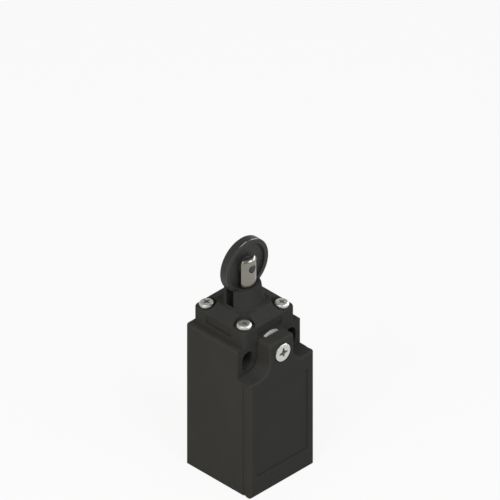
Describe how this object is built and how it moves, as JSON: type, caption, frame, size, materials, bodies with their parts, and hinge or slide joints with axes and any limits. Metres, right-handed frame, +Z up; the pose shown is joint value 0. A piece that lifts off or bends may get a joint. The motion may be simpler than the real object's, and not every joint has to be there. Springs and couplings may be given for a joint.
{
  "type": "roller plunger limit switch",
  "caption": "Narrow moulded limit switch whose spring-returned steel plunger carries a roller on a square screwed head; conduit entry below, snap-free contact block inside.",
  "frame": {"origin": "centre of the part's bounding box in plan, on the bottom face of the housing", "axes": "+Z up along the plunger, -Y out of the front cover, +X to the right seen from the front"},
  "size_m": [0.03, 0.0312, 0.0902],
  "materials": {
    "housing_plastic": "fine moulded texture, black-grey glass-filled plastic",
    "cover_plastic": "fine moulded texture, black-grey glass-filled plastic",
    "head_plastic": "fine moulded texture, black-grey glass-filled plastic",
    "gasket_rubber": "smooth black nitrile rubber",
    "screw_nickel": "bright zinc-nickel plate",
    "keeper_nylon": "natural grey nylon",
    "bush_bronze": "sintered bronze",
    "inner_plastic": "natural acetal",
    "spring_steel": "stainless spring wire",
    "plunger_steel": "fine-turned stainless steel",
    "roller_plastic": "satin black moulded plastic",
    "block_plastic": "light moulded plastic",
    "contact_copper": "bare copper alloy",
    "contact_silver": "silver",
    "terminal_brass": "bare brass",
    "terminal_steel": "zinc-plated steel"
  },
  "bodies": {
    "switch_body": {"housing": "housing_plastic", "front_cover": "cover_plastic", "cover_gasket": "gasket_rubber", "cover_screw": "screw_nickel", "cover_screw_keeper": "keeper_nylon", "head": "head_plastic", "head_screws": "screw_nickel", "head_gasket": "gasket_rubber", "rod_seal": "gasket_rubber", "guide_bush": "bush_bronze", "spring_retainer": "inner_plastic", "return_spring": "spring_steel", "contact_block_base": "block_plastic", "contact_block_lid": "block_plastic", "fixed_contact_tips": "contact_silver", "nc_terminal_left": "terminal_brass", "nc_terminal_right": "terminal_brass", "no_terminal_left": "terminal_brass", "no_terminal_right": "terminal_brass", "terminal_clamps": "terminal_steel", "terminal_screws": "terminal_steel", "block_screws": "terminal_steel", "carrier_spring": "spring_steel"},
    "plunger": {"plunger": "plunger_steel", "roller_axle": "plunger_steel"},
    "roller": {"roller": "roller_plastic"},
    "actuator_pin": {"actuator_pin": "inner_plastic"},
    "contact_carrier": {"contact_carrier": "inner_plastic", "nc_contact_bridge": "contact_copper", "no_contact_bridge": "contact_copper", "transfer_spring": "spring_steel"}
  },
  "joints": [
    {"name": "plunger_press", "type": "slide", "parent": "switch_body", "child": "plunger", "axis": [0, 0, -1], "range_m": [0, 0.005], "stiffness_N_per_m": 1200, "springref_m": -0.004, "deforming": ["return_spring"]},
    {"name": "roller_spin", "type": "hinge", "parent": "plunger", "child": "roller", "pos_m": [0, 0.00308, 0.0802], "axis": [0, 1, 0], "continuous": true},
    {"name": "actuator_pin_slide", "type": "slide", "parent": "switch_body", "child": "actuator_pin", "axis": [0, 0, -1], "range_m": [0, 0.005], "deforming": ["transfer_spring"]},
    {"name": "contact_slide", "type": "slide", "parent": "switch_body", "child": "contact_carrier", "axis": [0, 0, -1], "range_m": [0, 0.0025], "deforming": ["carrier_spring"]}
  ],
  "couplings": [
    {"joint": "actuator_pin_slide", "follows": "plunger_press", "ratio": 1},
    {"joint": "contact_slide", "follows": "plunger_press", "ratio": 0.5}
  ]
}
